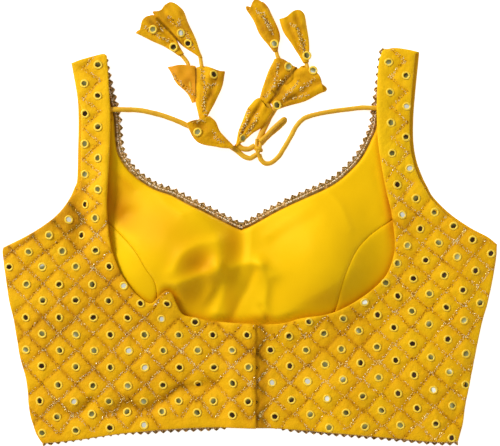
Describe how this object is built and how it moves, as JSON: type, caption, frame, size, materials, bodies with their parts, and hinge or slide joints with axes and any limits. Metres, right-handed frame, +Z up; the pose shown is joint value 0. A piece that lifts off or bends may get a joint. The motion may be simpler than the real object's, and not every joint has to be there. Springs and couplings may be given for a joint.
{
  "type": "choli blouse",
  "caption": "Sleeveless padded choli blouse laid flat with its back up, with a deep round back neckline, cup lining, bead lace and back ties that end in cloth bells.",
  "frame": {"origin": "middle of the blouse's box, without its cords and bells, on the surface that it lies on", "axes": "+X across the garment towards the strap on the right when seen from above, +Y from hem to shoulders, +Z up, away from the surface"},
  "size_m": [0.4602, 0.4135, 0.0247],
  "materials": {
    "embroidered_cloth": "golden yellow raw-silk-like weave with gold thread embroidery and small round mirrors",
    "satin_lining": "smooth yellow satin",
    "bead_lace": "antique gold beads and thread",
    "cord_cloth": "matte yellow cloth tube",
    "hook_steel": "dark satin"
  },
  "bodies": {
    "root": {"back_left": "embroidered_cloth", "back_right": "embroidered_cloth", "front_centre": "embroidered_cloth", "front_side_left": "embroidered_cloth", "front_side_right": "embroidered_cloth", "lining_centre": "satin_lining", "lining_side_left": "satin_lining", "lining_side_right": "satin_lining", "neck_lace": "bead_lace", "hem_lace": "bead_lace", "hook_upper": "hook_steel", "hook_lower": "hook_steel", "tie_left": "cord_cloth", "tie_right": "cord_cloth", "tie_knot": "cord_cloth", "bow_stem": "cord_cloth", "bow_ear": "cord_cloth", "bow_tail": "cord_cloth", "string_l4": "cord_cloth", "string_l5": "cord_cloth", "string_r4": "cord_cloth", "string_r5": "cord_cloth", "latkan_l1": "embroidered_cloth", "latkan_l2": "embroidered_cloth", "latkan_l3": "embroidered_cloth", "latkan_l4": "embroidered_cloth", "latkan_l5": "embroidered_cloth", "latkan_r1": "embroidered_cloth", "latkan_r2": "embroidered_cloth", "latkan_r3": "embroidered_cloth", "latkan_r4": "embroidered_cloth", "latkan_r5": "embroidered_cloth"}
  },
  "joints": []
}
